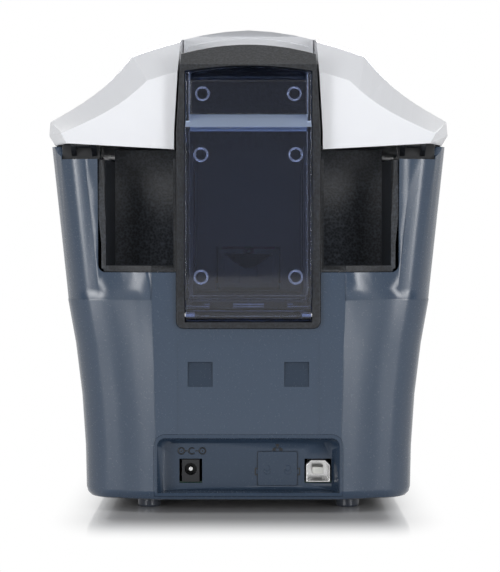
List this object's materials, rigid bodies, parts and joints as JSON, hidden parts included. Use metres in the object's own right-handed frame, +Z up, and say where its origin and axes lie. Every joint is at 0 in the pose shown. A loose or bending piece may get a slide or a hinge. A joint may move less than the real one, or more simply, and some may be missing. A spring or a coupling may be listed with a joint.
{
  "type": "id card printer",
  "caption": "Desktop card printer with a rear card feeder behind a clear door, a rear-hinged hood, a geared card path and a front output tray.",
  "frame": {"origin": "on the floor under the middle of the printer's length and width", "axes": "+Z up, +Y towards the rear with the feeder and the sockets, +X to the left of someone facing the rear"},
  "size_m": [0.2038, 0.38, 0.2473],
  "materials": {
    "casing_grey": "finely textured blue-grey moulding",
    "recess_grey": "satin blue-grey moulding",
    "textured_black": "coarse spark-textured black moulding",
    "satin_black": "satin black moulding",
    "hood_white": "glossy white moulding",
    "smoked_clear": "transparent smoked blue, polished",
    "zinc_steel": "bright zinc-plated sheet",
    "ground_steel": "ground shafting",
    "spring_steel": "drawn spring wire",
    "nickel": "nickel-plated contact metal",
    "roller_rubber": "ground black rubber",
    "foot_rubber": "moulded black rubber",
    "cleaning_blue": "tacky blue silicone",
    "gear_acetal": "natural acetal",
    "bush_acetal": "oil-filled acetal",
    "head_alloy": "extruded heat sink",
    "motor_can": "satin motor can",
    "pinion_brass": "hobbed brass",
    "ribbon_purple": "dye-coated film",
    "spool_grey": "satin moulding",
    "board_green": "solder-masked board",
    "component_dark": "moulded components",
    "panel_black": "polished black moulding",
    "button_silver": "silver-painted moulding",
    "light_pipe": "clear light pipe",
    "tongue_white": "white moulding"
  },
  "bodies": {
    "base": {"base_casing": "casing_grey", "bottom_plate": "satin_black", "feet": "foot_rubber", "spine_frame": "textured_black", "card_hopper": "satin_black", "gate_spring": "spring_steel", "hinge_pins": "ground_steel", "grip_liner_left": "textured_black", "grip_liner_right": "textured_black", "rear_deck": "textured_black", "connector_panel": "recess_grey", "power_jack": "satin_black", "power_pin": "nickel", "network_blank": "recess_grey", "usb_shell": "nickel", "usb_tongue": "tongue_white", "chassis_left": "zinc_steel", "chassis_right": "zinc_steel", "shaft_bushes": "bush_acetal", "card_track": "satin_black", "idler_studs": "ground_steel", "drive_motor": "motor_can", "ribbon_motor": "motor_can", "ribbon_film": "ribbon_purple", "main_board": "board_green", "board_parts": "component_dark", "front_panel": "panel_black", "status_lights": "light_pipe", "output_bin": "satin_black", "chassis_screws": "zinc_steel"},
    "hood": {"hood_cover": "hood_white", "hood_liner": "satin_black", "print_head": "head_alloy"},
    "feeder_door": {"feeder_door": "smoked_clear"},
    "card_gate": {"card_gate": "satin_black"},
    "release_button": {"release_button": "button_silver"},
    "feed_button": {"feed_button": "button_silver"},
    "output_door": {"output_door": "smoked_clear"},
    "pick_roller": {"pick_shaft": "ground_steel", "pick_tyre": "roller_rubber", "pick_gear": "gear_acetal"},
    "feed_roller": {"feed_shaft": "ground_steel", "feed_tyre": "roller_rubber", "feed_gear": "gear_acetal"},
    "platen_roller": {"platen_shaft": "ground_steel", "platen_tyre": "roller_rubber", "platen_gear": "gear_acetal"},
    "exit_roller": {"exit_shaft": "ground_steel", "exit_tyre": "roller_rubber", "exit_gear": "gear_acetal"},
    "cleaning_roller": {"cleaning_roller": "cleaning_blue"},
    "idler_a": {"idler_gear_a": "gear_acetal"},
    "idler_b": {"idler_gear_b": "gear_acetal"},
    "idler_c": {"idler_gear_c": "gear_acetal"},
    "motor_pinion": {"motor_pinion": "pinion_brass"},
    "ribbon_pinion": {"ribbon_pinion": "pinion_brass"},
    "supply": {"supply_spool": "spool_grey", "supply_roll": "ribbon_purple"},
    "take_up": {"take_up_spool": "spool_grey"}
  },
  "joints": [
    {"name": "hood_hinge", "type": "hinge", "parent": "base", "child": "hood", "pos_m": [0, 0.1656, 0.1855], "axis": [-1, 0, 0], "range_deg": [0, 70]},
    {"name": "feeder_door_hinge", "type": "hinge", "parent": "base", "child": "feeder_door", "pos_m": [0, 0.1784, 0.099], "axis": [-1, 0, 0], "range_deg": [0, 90]},
    {"name": "output_door_hinge", "type": "hinge", "parent": "base", "child": "output_door", "pos_m": [0, -0.18226, 0.0408], "axis": [1, 0, 0], "range_deg": [0, 85]},
    {"name": "card_gate_slide", "type": "slide", "parent": "base", "child": "card_gate", "axis": [0, 0, 1], "range_m": [0, 0.003], "stiffness_N_per_m": 60, "springref_m": -0.002, "deforming": ["gate_spring"]},
    {"name": "release_button_slide", "type": "slide", "parent": "base", "child": "release_button", "axis": [0, 1, 0], "range_m": [0, 0.0025], "stiffness_N_per_m": 300, "springref_m": -0.001},
    {"name": "feed_button_slide", "type": "slide", "parent": "base", "child": "feed_button", "axis": [0, 1, 0], "range_m": [0, 0.001], "stiffness_N_per_m": 300, "springref_m": -0.001},
    {"name": "pick_spin", "type": "hinge", "parent": "base", "child": "pick_roller", "pos_m": [0, 0.126, 0.1015], "axis": [1, 0, 0], "continuous": true},
    {"name": "feed_spin", "type": "hinge", "parent": "base", "child": "feed_roller", "pos_m": [0, 0.07, 0.1015], "axis": [1, 0, 0], "continuous": true},
    {"name": "platen_spin", "type": "hinge", "parent": "base", "child": "platen_roller", "pos_m": [0, -0.004, 0.1015], "axis": [1, 0, 0], "continuous": true},
    {"name": "exit_spin", "type": "hinge", "parent": "base", "child": "exit_roller", "pos_m": [0, -0.074, 0.1015], "axis": [1, 0, 0], "continuous": true},
    {"name": "cleaning_spin", "type": "hinge", "parent": "base", "child": "cleaning_roller", "pos_m": [0, 0.07, 0.11486], "axis": [1, 0, 0], "continuous": true},
    {"name": "idler_a_spin", "type": "hinge", "parent": "base", "child": "idler_a", "pos_m": [0, 0.098, 0.09073], "axis": [1, 0, 0], "continuous": true},
    {"name": "idler_b_spin", "type": "hinge", "parent": "base", "child": "idler_b", "pos_m": [0, 0.033, 0.08999], "axis": [1, 0, 0], "continuous": true},
    {"name": "idler_c_spin", "type": "hinge", "parent": "base", "child": "idler_c", "pos_m": [0, -0.039, 0.08804], "axis": [1, 0, 0], "continuous": true},
    {"name": "motor_spin", "type": "hinge", "parent": "base", "child": "motor_pinion", "pos_m": [0, 0.04303, 0.05256], "axis": [1, 0, 0], "continuous": true},
    {"name": "ribbon_motor_spin", "type": "hinge", "parent": "base", "child": "ribbon_pinion", "pos_m": [0, -0.09198, 0.145], "axis": [1, 0, 0], "continuous": true},
    {"name": "supply_spin", "type": "hinge", "parent": "base", "child": "supply", "pos_m": [0, 0.044, 0.16], "axis": [1, 0, 0], "continuous": true},
    {"name": "take_up_spin", "type": "hinge", "parent": "base", "child": "take_up", "pos_m": [0, -0.066, 0.16], "axis": [1, 0, 0], "continuous": true}
  ],
  "couplings": [
    {"joint": "idler_b_spin", "follows": "platen_spin", "ratio": -0.40909},
    {"joint": "feed_spin", "follows": "platen_spin", "ratio": 1},
    {"joint": "motor_spin", "follows": "platen_spin", "ratio": 1},
    {"joint": "idler_a_spin", "follows": "platen_spin", "ratio": -0.6},
    {"joint": "pick_spin", "follows": "platen_spin", "ratio": 1},
    {"joint": "idler_c_spin", "follows": "platen_spin", "ratio": -0.42857},
    {"joint": "exit_spin", "follows": "platen_spin", "ratio": 1},
    {"joint": "ribbon_motor_spin", "follows": "take_up_spin", "ratio": -1.6667}
  ]
}
